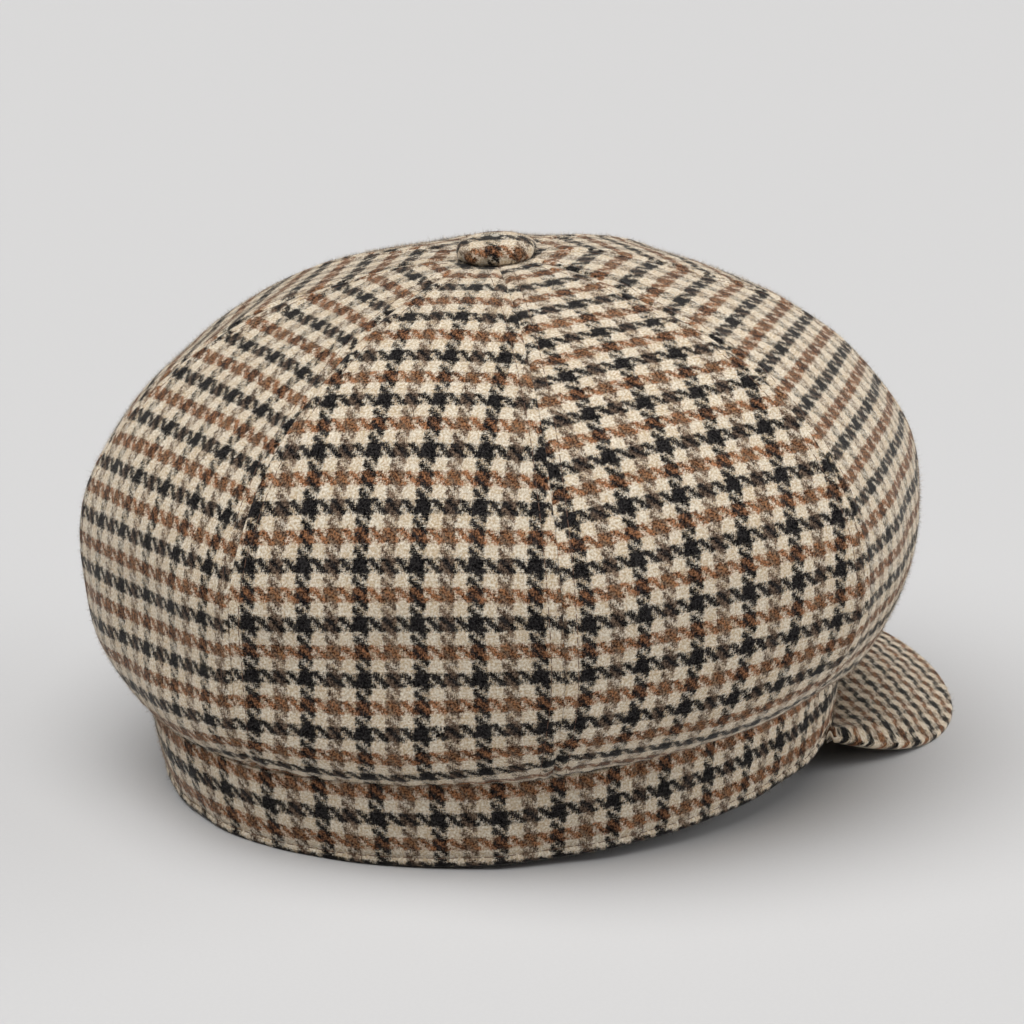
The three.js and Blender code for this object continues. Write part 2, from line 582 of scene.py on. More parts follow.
@dataclass(frozen=True)
class GunClubTweed:
    """Milled woollen cloth in 2/2 twill, checked in bands of four threads.

    Attributes:
        warp: yarns of the bands that run along the cloth.
        weft: yarns of the bands that run across it.
        warp_pitch: distance from one warp thread to the next.
        weft_pitch: distance from one weft thread to the next.
        band: threads in a band.
        fine_half: half the breadth of a yarn without cover, in pitches.
        full_half: half the breadth of a yarn of full cover, in pitches.
        wave: how far a yarn rises over and dips under the others, in yarn heights.
        spread: how much higher a yarn of full cover lies.
        painted_sheen_colour: screen colour of a sheen painted onto the cloth where it is seen along its
            surface.
        fuzz: how far loose fibres reach over the next yarn, in yarn heights.
        fray: how ragged the threads' edges are.
        nap_fray: the same, for the colours that loose fibres take.
        nap_pale: share of pale wool in loose fibres.
        wander_scale: swings of a thread on a millimetre.
        wander: how far it swings, in pitches.
        rough_scale: rough spots of a thread's edge on a millimetre.
        fine_scale: its finest rough spots on a millimetre.
        grain_scale: flecks of lighter and darker fibres on a millimetre.
        streaks: loose fibres on a millimetre, across and along their yarn.
        hair: share of the fuzz on a yarn without cover, and on one of full cover.
        soft: how far a yarn's edge fades into the next, in yarn heights.
        drawn_through: share of dark fibres that show through, of the warp and of the weft.
        uneven: how much the height of a yarn varies along it, in yarn heights.
        slant_from: how slanted the cloth is seen where its spread, lift and painted sheen start to change.
        slant_to: how slanted where the change is complete.
    """

    warp: tuple[Yarn, ...] = (BLACK, CREAM, DARK_BROWN, CREAM)
    weft: tuple[Yarn, ...] = (BLACK, CREAM, TAN, CREAM)
    warp_pitch: float = 0.97
    weft_pitch: float = 0.956
    band: int = 4
    fine_half: float = 0.52
    full_half: float = 0.8
    wave: float = 0.42
    spread: float = 0.3
    painted_sheen_colour: tuple[int, int, int] = (229, 226, 222)
    fuzz: float = 4.0
    fray: float = 1.5
    nap_fray: float = 0.9
    nap_pale: float = 0.1
    wander_scale: float = 0.07
    wander: float = 1.3
    rough_scale: float = 0.9
    fine_scale: float = 8.0
    grain_scale: float = 1.6
    streaks: tuple[float, float] = (3.8, 0.9)
    hair: tuple[float, float] = (1.2, 0.6)
    soft: float = 0.6
    drawn_through: tuple[float, float] = (0.8, 0.6)
    uneven: float = 0.9
    slant_from: tuple[float, float, float] = (0.25, 0.3, 0.4)
    slant_to: float = 0.75

    def bands_group(self, name: str, yarns: tuple[Yarn, ...]) -> ShaderNodeTree:
        """Builds the group that knows the colour of each thread of one direction.

        Args:
            name: the group's name.
            yarns: the bands' yarns, in order.

        Returns:
            A group that turns a thread's number into its colour and cover.
        """
        desk, given, out = open_group(
            name,
            inputs={"Thread": "Float", "Fleck": "Float"},
            outputs={"Colour": "Color", "Cover": "Float"},
        )
        repeat = self.band * len(yarns)
        within = desk.math("FLOORED_MODULO", given.outputs["Thread"], repeat)
        middle = desk.math("MULTIPLY_ADD", within, 1 / repeat, 0.5 / repeat)
        shades = []
        for shade in ("dark", "light"):
            node = desk.add("ShaderNodeValToRGB")
            ramp = node.color_ramp
            ramp.interpolation = "CONSTANT"
            while len(ramp.elements) < len(yarns):
                ramp.elements.new(1.0)
            for index, yarn in enumerate(yarns):
                ramp.elements[index].position = index / len(yarns)
                ramp.elements[index].color = (*linear(getattr(yarn, shade))[:3], yarn.cover)
            desk.feed(node.inputs[0], middle)
            shades.append(node)
        mixed = desk.blend(given.outputs["Fleck"], shades[0].outputs["Color"], shades[1].outputs["Color"])
        desk.fill(out, {"Colour": mixed, "Cover": shades[0].outputs["Alpha"]})
        return desk.tree

    def weave_group(self) -> ShaderNodeTree:
        """Builds the shader group of the woven check.

        Returns:
            A group that turns a place on the cloth into its colour, with painted shade in the hollows
            between yarns, and its relief.
        """
        desk, given, out = open_group(
            "twill_check",
            inputs={"Cloth": "Vector", "Fray": "Float", "Spread": "Float", "Weft Lift": "Float"},
            outputs={"Colour": "Color", "Relief": "Float"},
        )
        cloth, fray, spread, lift = (
            given.outputs[name] for name in ("Cloth", "Fray", "Spread", "Weft Lift"))
        x, y = desk.split(cloth)

        # Threads wander slowly, and milling has roughened their edges.
        wander = desk.split(desk.noise(cloth, self.wander_scale, 2.0).outputs["Color"])
        rough = desk.split(desk.noise(cloth, self.rough_scale, 3.0, 0.6).outputs["Color"])
        fine = desk.split(desk.noise(cloth, self.fine_scale, 1.0).outputs["Color"])
        counts = []
        pitches = (self.warp_pitch, self.weft_pitch)
        for place, pitch, slow, quick, finest in zip((x, y), pitches, wander, rough, fine):
            swing = desk.math("MULTIPLY_ADD", slow, self.wander, -self.wander / 2)
            ragged = desk.math("SUBTRACT", desk.math("ADD", quick, finest), 1.0)
            counted = desk.math("MULTIPLY_ADD", place, 1 / pitch, swing)
            counts.append(desk.math("ADD", counted, desk.math("MULTIPLY", ragged, fray)))
        u, v = counts
        grain = desk.noise(cloth, self.grain_scale, 3.0, 0.6).outputs["Fac"]
        strands, strays = [], []
        for threads, other, bands, turn, (wide, tall) in (
            (u, v, self.bands_group("warp_bands", self.warp), 1.0, self.streaks),
            (v, u, self.bands_group("weft_bands", self.weft), -1.0, self.streaks[::-1]),
        ):
            lie = desk.vector(desk.math("MULTIPLY", x, wide), desk.math("MULTIPLY", y, tall))
            loose = desk.noise(lie, 1.0, 2.0, 0.6).outputs["Fac"]
            fuzz = desk.math("MULTIPLY_ADD", loose, self.fuzz, -self.fuzz / 2)
            strays.append(fuzz)
            own = desk.math("FLOOR", threads)
            inside = desk.math("SUBTRACT", desk.math("FRACT", threads), 0.5)
            off = desk.math("ABSOLUTE", inside)
            beside = desk.math("ADD", own, desk.math("SIGN", inside))
            for thread, distance in ((own, off), (beside, desk.math("SUBTRACT", 1.0, off))):
                strand = self.strand(desk, thread, distance, other, bands, turn, grain, spread)
                colour, height, cover = strand
                hairy = desk.math("MULTIPLY_ADD", fuzz, desk.choose(cover, *self.hair), height)
                strands.append((colour, height, desk.math("MULTIPLY_ADD", lift, -turn / 2, hairy)))
        colour, top, lead = strands[0]
        for next_colour, height, reach in strands[1:]:
            share = desk.remap(desk.math("SUBTRACT", reach, lead), -self.soft, self.soft, 0.0, 1.0)
            colour = desk.blend(share, colour, next_colour)
            top = desk.math("MAXIMUM", top, height)
            lead = desk.math("MAXIMUM", lead, reach)
        # Dark fibres of the yarn beneath are drawn through the lighter yarn on top of it.
        for strand, fuzz, share in zip(strands[::2], strays, self.drawn_through):
            colour = desk.blend(desk.remap(fuzz, -0.5, 0.9, 0.0, share), colour, strand[0], "DARKEN")
        # Painted shade: the colour darkens where the top yarn lies low, in the hollows between yarns; the
        # grain flecks are the wool's own lighter and darker fibres.
        shade = desk.math(
            "MULTIPLY",
            desk.remap(top, 0.5, 1.5, 0.78, 1.04),
            desk.remap(grain, 0.3, 0.7, 0.92, 1.08),
        )
        desk.feed(out.inputs["Colour"], desk.blend(1.0, colour, shade, "MULTIPLY"))
        desk.feed(out.inputs["Relief"], desk.math("MULTIPLY_ADD", grain, 0.2, top))
        return desk.tree

    def strand(self, desk: NodeDesk, thread: NodeSocket, distance: NodeSocket,
               other: NodeSocket, bands: ShaderNodeTree, turn: float,
               grain: NodeSocket, spread: NodeSocket
               ) -> tuple[NodeSocket, NodeSocket, NodeSocket]:
        """One thread that may be on top at a place.

        Args:
            desk: where the nodes go.
            thread: its number.
            distance: how far the place is from its middle, in pitches.
            other: the place along it, counted in threads of the other direction.
            bands: group of its direction's colours.
            turn: 1 for a warp thread and -1 for a weft thread.
            grain: noise of lighter and darker fibres.
            spread: how much higher a yarn of full cover lies.

        Returns:
            Its colour, the height of its surface and its cover.
        """
        number = desk.math("MULTIPLY", thread, 3.7)
        slub = desk.noise(desk.vector(number, desk.math("MULTIPLY", other, 0.16)), 1.0, 1.0).outputs["Fac"]
        uneven = desk.noise(desk.vector(number, desk.math("MULTIPLY", other, 0.7)), 1.0, 1.0).outputs["Fac"]
        fleck = desk.remap(desk.math("MULTIPLY_ADD", slub, 0.4, grain), 0.54, 0.86, 0.0, 1.0)
        group = desk.add("ShaderNodeGroup", node_tree=bands)
        desk.fill(group, {"Thread": thread, "Fleck": fleck})
        colour, cover = group.outputs["Colour"], group.outputs["Cover"]
        phase = desk.math("MULTIPLY", desk.math("ADD", desk.math("ADD", thread, other), 3.0), math.pi / 2)
        rise = desk.remap(desk.math("SINE", phase), -0.6, 0.6, -self.wave * turn, self.wave * turn)
        half = desk.choose(cover, self.fine_half, self.full_half)
        share = desk.math("DIVIDE", distance, half)
        hollow = desk.math("MAXIMUM", desk.math("SUBTRACT", 1.0, desk.math("MULTIPLY", share, share)), 0.0)
        height = desk.math("ADD", rise, desk.math("SQRT", hollow))
        height = desk.math("MULTIPLY_ADD", cover, spread, height)
        height = desk.math("SUBTRACT", height, self.uneven / 2)
        return colour, desk.math("MULTIPLY_ADD", uneven, self.uneven, height), cover

    def cloth(self, weave: ShaderNodeTree, finish: ClothFinish) -> Material:
        """The cap's cloth in one of its finishes.

        Args:
            weave: the woven check's group.
            finish: how the cloth is worked.

        Returns:
            A material that reads the cloth's map.
        """
        material, desk, shader = new_material(finish.name)
        woven = self.woven(desk, weave, self.fray)
        # Where the cloth is seen along its surface, a pale painted sheen is blended into its colour,
        # standing in for the light that the nap catches.
        slant = desk.add("ShaderNodeLayerWeight").outputs["Facing"]
        spread, lift, painted_sheen = (
            desk.remap(slant, start, self.slant_to, facing, along)
            for start, facing, along in zip(
                self.slant_from,
                (self.spread, finish.weft_lift, 0.0),
                (finish.slant_spread, finish.slant_lift, finish.slant_painted_sheen),
            )
        )
        desk.fill(woven, {"Spread": spread, "Weft Lift": lift})
        desk.fill(shader, {
            "Base Color": desk.blend(painted_sheen, woven.outputs["Colour"], linear(self.painted_sheen_colour)),
            "Roughness": 0.92,
            "Specular IOR Level": 0.05,
            "Sheen Weight": 0.22,
            "Sheen Roughness": 0.22,
            "Sheen Tint": (1.0, 1.0, 1.0, 1.0),
            "Normal": desk.bump(woven.outputs["Relief"], strength=0.3, distance=0.0004),
        })
        return material

    def nap(self, weave: ShaderNodeTree) -> Material:
        """The finish of loose fibres, each of the colour of the yarn that it stands on.

        Args:
            weave: the woven check's group.

        Returns:
            A material that reads the cloth's map.
        """
        material, desk, shader = new_material("tweed_nap")
        woven = self.woven(desk, weave, self.nap_fray)
        paled = desk.blend(self.nap_pale, woven.outputs["Colour"], linear(CREAM.light))
        desk.fill(shader, {"Base Color": paled, "Roughness": 0.8, "Specular IOR Level": 0.25})
        return material

    def woven(self, desk: NodeDesk, weave: ShaderNodeTree, fray: float) -> Node:
        """Places the woven check in a material.

        Args:
            desk: where the nodes go.
            weave: the woven check's group.
            fray: how ragged the threads' edges are.

        Returns:
            The group's node.
        """
        place = desk.add("ShaderNodeUVMap", uv_map=CLOTH_MAP)
        group = desk.add("ShaderNodeGroup", node_tree=weave)
        desk.fill(group, {"Cloth": place.outputs["UV"], "Fray": fray, "Spread": self.spread})
        return group


def new_material(name: str) -> tuple[Material, NodeDesk, Node]:
    """Makes an empty material.

    Args:
        name: its name.

    Returns:
        The material, a desk on its tree and its shader.
    """
    material = bpy.data.materials.new(name)
    material.use_nodes = True
    shader = material.node_tree.nodes["Principled BSDF"]
    return material, NodeDesk(material.node_tree), shader


@dataclass(frozen=True)
class SewingThread:
    """Fine two-ply sewing thread.

    Attributes:
        light: screen colour on a ply.
        dark: screen colour between the plies, painted shade in the groove of the twist.
        lay: length of one turn of the plies.
    """

    light: tuple[int, int, int] = (122, 82, 54)
    dark: tuple[int, int, int] = (58, 36, 24)
    lay: float = 0.55

    def material(self) -> Material:
        """Builds the thread's finish from its twist, with painted shade between the plies."""
        material, desk, shader = new_material("brown_sewing_thread")
        place = desk.add("ShaderNodeUVMap", uv_map=THREAD_MAP)
        around, along = desk.split(place.outputs["UV"])
        turn = desk.math("ADD", around, desk.math("DIVIDE", along, self.lay))
        wave = desk.math("SINE", desk.math("MULTIPLY", turn, 4 * math.pi))
        ply = desk.math("MULTIPLY_ADD", wave, 0.5, 0.5)
        fuzz = desk.noise(desk.vector(desk.math("MULTIPLY", around, 9.0), along), 3.0, 2.0).outputs["Fac"]
        # Painted shade: the colour falls to dark in the groove between the plies; the fuzz noise is the
        # thread's own uneven tone.
        tone = desk.math("MULTIPLY", ply, desk.remap(fuzz, 0.3, 0.7, 0.55, 1.0))
        desk.fill(shader, {
            "Base Color": desk.blend(tone, linear(self.dark), linear(self.light)),
            "Roughness": 0.6,
            "Normal": desk.bump(ply, strength=0.5, distance=0.00006),
        })
        return material


@dataclass(frozen=True)
class TopStitch:
    """A row of machine stitches that dip into the cloth at their ends.

    Attributes:
        pitch: distance from one stitch to the next.
        length: length of the thread that shows.
        radius: half the thread's thickness.
        sides: sides of the thread.
    """

    pitch: float = 3.1
    length: float = 2.65
    radius: float = 0.11
    sides: int = 6

    def sew(self, sewn: Sewn, path: np.ndarray, normals: np.ndarray) -> int:
        """Adds a row of stitches along a path.

        Args:
            sewn: the piece that takes them.
            path: points of the path on the cloth, in metres.
            normals: the cloth's normals at those points.

        Returns:
            The number of stitches.
        """
        travelled = path_lengths(path) * 1000
        count = int((travelled[-1] - self.length) // self.pitch) + 1
        shares = np.array([0.0, 0.1, 0.5, 0.9, 1.0])
        swell = np.array([0.5, 0.95, 1.0, 0.95, 0.5]) * self.radius / 1000
        lift = np.array([-1.2, 0.1, 0.4, 0.1, -1.2]) * self.radius / 1000
        stations = np.arange(count)[:, None] * self.pitch + shares * self.length
        middle = np.stack([np.interp(stations, travelled, path[:, k]) for k in range(3)], axis=-1)
        up = np.stack([np.interp(stations, travelled, normals[:, k]) for k in range(3)], axis=-1)
        up /= np.linalg.norm(up, axis=-1, keepdims=True)
        along = middle[:, -1:] - middle[:, :1]
        along = np.broadcast_to(along / np.linalg.norm(along, axis=-1, keepdims=True), middle.shape)
        aside = np.cross(along, up)
        middle = middle + lift[:, None] * up
        turn = np.arange(self.sides) * 2 * math.pi / self.sides
        out = np.cos(turn)[:, None] * up[..., None, :] + np.sin(turn)[:, None] * aside[..., None, :]
        rings = sewn.lay(middle[..., None, :] + swell[:, None, None] * out)
        wrapped = np.concatenate([rings, rings[..., :1]], axis=-1)
        around = np.linspace(0, 1, self.sides + 1)
        flat = np.stack(np.broadcast_arrays(around, stations[..., None]), axis=-1)
        sewn.net(wrapped, flat)
        for end in (0, -1):
            pole = sewn.lay(middle[:, end])[:, None]
            sewn.cap(wrapped[:, end], flat[:, end], pole, flat[:, end, :-1], last=end == -1)
        return count


@dataclass(frozen=True)
class Nap:
    """Loose fibres that stand off milled wool.

    Attributes:
        per_square_cm: fibres on a square centimetre.
        shortest: length of the shortest fibres.
        longest: length of the longest.
        breadth: a fibre's thickness.
        curled: whether the fibres are long enough to curl.
        seed: start of the random numbers.
        rarity: how few of the fibres are long.
        stand: how upright they are, at least and at most.
        stray: how far they stray from upright.
        least_stand: the least share of upright in a fibre's direction.
        curl: how far a tip strays from its fibre's direction.
        root_depth: how deep they are rooted.
    """

    per_square_cm: float
    shortest: float
    longest: float
    breadth: float
    curled: bool
    seed: int
    rarity: float = 2.2
    stand: tuple[float, float] = (0.15, 1.1)
    stray: float = 0.55
    least_stand: float = 0.12
    curl: float = 0.22
    root_depth: float = 0.15

    def grow(self, name: str, faces: list[ClothFace], material: Material) -> Object:
        """Grows fibres on the outer faces of some pieces.

        Args:
            name: name of the new piece.
            faces: the faces, in metres.
            material: the fibres' finish.

        Returns:
            The new object.
        """
        rng = np.random.default_rng(self.seed)
        sewn = Sewn(name)
        for face in faces:
            self.plant(sewn, face, rng)
        return sewn.finish(material)

    def plant(self, sewn: Sewn, face: ClothFace, rng: np.random.Generator) -> None:
        """Adds the fibres of one face.

        Args:
            sewn: the piece that takes them.
            face: the face, in metres.
            rng: the random numbers.
        """
        points, normals = face.points, net_normals(face.points)
        diagonals = (points[1:, 1:] - points[:-1, :-1], points[1:, :-1] - points[:-1, 1:])
        areas = np.linalg.norm(np.cross(*diagonals), axis=-1).ravel() / 2
        count = int(areas.sum() * 1e4 * self.per_square_cm)
        cells = rng.choice(areas.size, size=count, p=areas / areas.sum())
        row, column = np.unravel_index(cells, (points.shape[0] - 1, points.shape[1] - 1))
        up, right = rng.random((2, count, 1))

        def between(net: np.ndarray) -> np.ndarray:
            """Values of a net at the chosen places."""
            low = net[row, column] * (1 - right) + net[row, column + 1] * right
            high = net[row + 1, column] * (1 - right) + net[row + 1, column + 1] * right
            return low * (1 - up) + high * up

        root, normal, flat = between(points), between(normals), between(face.flat)
        longer = rng.random((count, 1)) ** self.rarity
        length = (self.shortest + (self.longest - self.shortest) * longer) / 1000
        stray = rng.normal(size=(2, count, 3))
        aim = normal * rng.uniform(*self.stand, (count, 1)) + stray[0] * self.stray
        aim /= np.linalg.norm(aim, axis=-1, keepdims=True)
        aim += normal * np.maximum(0, self.least_stand - (aim * normal).sum(-1, keepdims=True))
        curl = stray[1] * self.curl
        half = root + aim * length * 0.5
        tip = root + aim * length + curl * length
        tip[:, 2] = np.maximum(tip[:, 2], 0.0)
        half[:, 2] = np.maximum(half[:, 2], 0.0)
        broad = np.cross(aim, stray[1])
        broad *= self.breadth / 2000 / np.maximum(np.linalg.norm(broad, axis=-1, keepdims=True), 1e-9)
        root = root - normal * (self.root_depth / 1000)
        root[:, 2] = np.maximum(root[:, 2], 0.0)
        feet = sewn.lay(np.stack([root - broad, root + broad], 1))
        if self.curled:
            knees = sewn.lay(np.stack([half - broad, half + broad], 1))
            sewn.net(np.stack([feet, knees], 1), np.broadcast_to(flat[:, None, None], (count, 2, 2, 2)))
            feet = knees
        triples = np.concatenate([feet, sewn.lay(tip)[:, None]], axis=1)
        sewn.fans(triples, np.broadcast_to(flat[:, None], (count, 3, 2)))


@dataclass
class Band:
    """The head band: a folded strip with a stitched hem.

    Attributes:
        half_width: half its width at the hem.
        half_length: half its length at the hem.
        height: its height.
        flare: how much wider it is at its top.
        wall: its thickness.
        fold: radius of the hem's fold.
        top_round: radius of its top edges.
        hem_row: height of the hem's stitches.
        pinch: how deep the stitches draw the cloth in.
        belly: how far the cloth swells between hem and top.
        hem_roll: how far the hem swells below its stitches.
        close_to: height up to which its crossings lie closer.
        around: crossings round it.
        check_start: place of the check, across and along the cloth.
    """

    rest: Rest
    half_width: float = 92.1
    half_length: float = 101.4
    height: float = 24.9
    flare: float = 3.8
    wall: float = 3.0
    fold: float = 1.2
    top_round: float = 0.6
    hem_row: float = 3.2
    pinch: float = 0.4
    belly: float = 0.5
    hem_roll: float = 0.25
    close_to: float = 6.0
    around: int = 480
    check_start: tuple[float, float] = (0.0, 1.6)
    unevenness: Unevenness = Unevenness(swell=0.25, shortest=18.0, longest=60.0, seed=11)

    def radius(self, angle: np.ndarray, height: np.ndarray) -> np.ndarray:
        """Radius of its outer face.

        Args:
            angle: compass angle in radians.
            height: height above the hem.

        Returns:
            The radius.
        """
        wider = self.flare * height / self.height
        reach = self.half_length + wider
        return oval_radius(angle, self.half_width + wider, reach, reach)

    def section(self) -> tuple[np.ndarray, np.ndarray]:
        """The outline of its cross-section, up the outer face, over the top and down inside.

        Returns:
            Distance inside the outer face, and height, at each point.
        """
        quarter = np.radians(np.linspace(0, 90, 7))
        fold, top = self.fold, self.top_round
        near_hem = np.linspace(fold, self.close_to, 15)[1:]
        ups = np.concatenate([near_hem, np.linspace(self.close_to, self.height - top, 16)[1:-1]])
        inside = np.concatenate([
            fold * (1 - np.sin(quarter)),
            np.zeros_like(ups),
            top * (1 - np.cos(quarter)),
            self.wall - top + top * np.sin(quarter),
            np.full(10, self.wall),
            self.wall - fold + fold * np.cos(quarter),
        ])
        up = np.concatenate([
            fold * (1 - np.cos(quarter)),
            ups,
            self.height - top + top * np.sin(quarter),
            self.height - top + top * np.cos(quarter),
            np.linspace(self.height - top, fold, 12)[1:-1],
            fold * (1 - np.sin(quarter)),
        ])
        return inside, up

    def build(self, material: Material) -> tuple[Object, ClothFace]:
        """Makes the band.

        Args:
            material: its cloth.

        Returns:
            The piece, and its outer face in metres.
        """
        inside, up = self.section()
        angle = np.linspace(2 * math.pi, 0, self.around, endpoint=False)
        shaped = self.radius(angle, up[:, None]) - inside[:, None]
        upright = on_compass(angle, shaped, up[:, None], 0.0)
        outer = 1 - eased(inside, 0.0, self.wall * 0.5)
        ripple = 1 + 0.5 * np.sin(angle * 61) * np.sin(angle * 17 + 1.0)
        drawn = self.pinch * hump(up, self.hem_row, 0.6)[:, None] * ripple
        share = np.clip((up - self.hem_row) / (self.height - self.hem_row), 0, 1)
        swell = self.belly * np.sin(math.pi * share) + self.hem_roll * hump(up, 1.4, 1.2)
        proud = (swell[:, None] - drawn + self.unevenness.at(upright)) * outer[:, None]
        upright = on_compass(angle, shaped + proud, up[:, None], 0.0)
        travel = path_lengths(np.stack([inside, up], axis=-1))
        turn = np.linspace(2 * math.pi, 0, 721)
        girth = path_lengths(on_compass(turn, self.radius(turn, self.height / 2), 0.0, 0.0))[-1]
        repeat = GunClubTweed.warp_pitch * 16
        across = np.linspace(0, round(girth / repeat) * repeat, self.around + 1) + self.check_start[0]
        along = np.append(travel, travel[-1] + self.wall - 2 * self.fold) + self.check_start[1]
        flat = np.stack(np.broadcast_arrays(across, along[:, None]), axis=-1)
        placed = self.rest.place(upright)
        sewn = Sewn("tweed_band")
        numbers = sewn.lay(placed)
        numbers = np.concatenate([numbers, numbers[:, :1]], axis=1)
        numbers = np.concatenate([numbers, numbers[:1]], axis=0)
        sewn.net(numbers, flat)
        piece = sewn.finish(material)
        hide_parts("band")
        rows = int(np.argmax(up)) + 1
        wrapped = np.concatenate([placed, placed[:, :1]], axis=1)
        return piece, ClothFace(wrapped[:rows], flat[:rows])

    def stitch(self, face: ClothFace, stitch: TopStitch, material: Material) -> Object:
        """Sews the hem.

        Args:
            face: the band's outer face, in metres.
            stitch: the stitches.
            material: their thread.

        Returns:
            The row of stitches.
        """
        row = int(np.argmin(np.abs(face.flat[:, 0, 1] - self.check_start[1] - self.hem_row - 0.4)))
        sewn = Sewn("hem_topstitch")
        stitch.sew(sewn, face.points[row], net_normals(face.points)[row])
        return sewn.finish(material, THREAD_MAP)


@dataclass
class PanelNet:
    """A crown panel's faces with what its sewing needs to know.

    Attributes:
        outer: the outer face, in millimetres upright.
        inner: the inner face.
        from_seam: each crossing's distance from the nearest seam.
        width: the cut panel's greatest width.
        length: its length.
        area: its flat area.
    """

    outer: ClothFace
    inner: ClothFace
    from_seam: np.ndarray
    width: float
    length: float
    area: float


@dataclass(frozen=True)
class CheckLie:
    """How the check lies on a gore that was cut and eased into the crown.

    Attributes:
        across: place of the check across the gore's middle, at the level of its widest part.
        along: place of the check along the gore there.
        lean: how far its columns lean to the left on a millimetre of height.
        slant: how far its rows fall to the right on a millimetre of breadth.
        fan: growth of the lean from the gore's middle to its edge.
        twist: growth of the slant from the widest part to the top.
        ease: share that its rows are eased together.
        bow: how far its rows are bowed toward the top.
        widest: distance of the gore's widest part from the band.
        half_breadth: half the gore's breadth there.
    """

    across: float = 0.0
    along: float = 0.0
    lean: float = 0.0
    slant: float = 0.0
    fan: float = 0.0
    twist: float = 0.0
    ease: float = 0.0
    bow: float = 0.0
    widest: float = 60.0
    half_breadth: float = 40.0

    def lay(self, across: np.ndarray, along: np.ndarray) -> np.ndarray:
        """Finds places on the uncut cloth.

        Args:
            across: distance to the right of the gore's middle.
            along: distance along the gore from the band.

        Returns:
            Array of places across and along the cloth.
        """
        aside = across / self.half_breadth
        above = along - self.widest
        up = above / self.widest
        place_across = across + self.across + above * (self.lean + self.fan * aside)
        place_along = along + self.along + across * (self.slant + self.twist * up)
        place_along = place_along + above * self.ease + self.bow * up * up
        return np.stack([place_across, place_along], axis=-1)


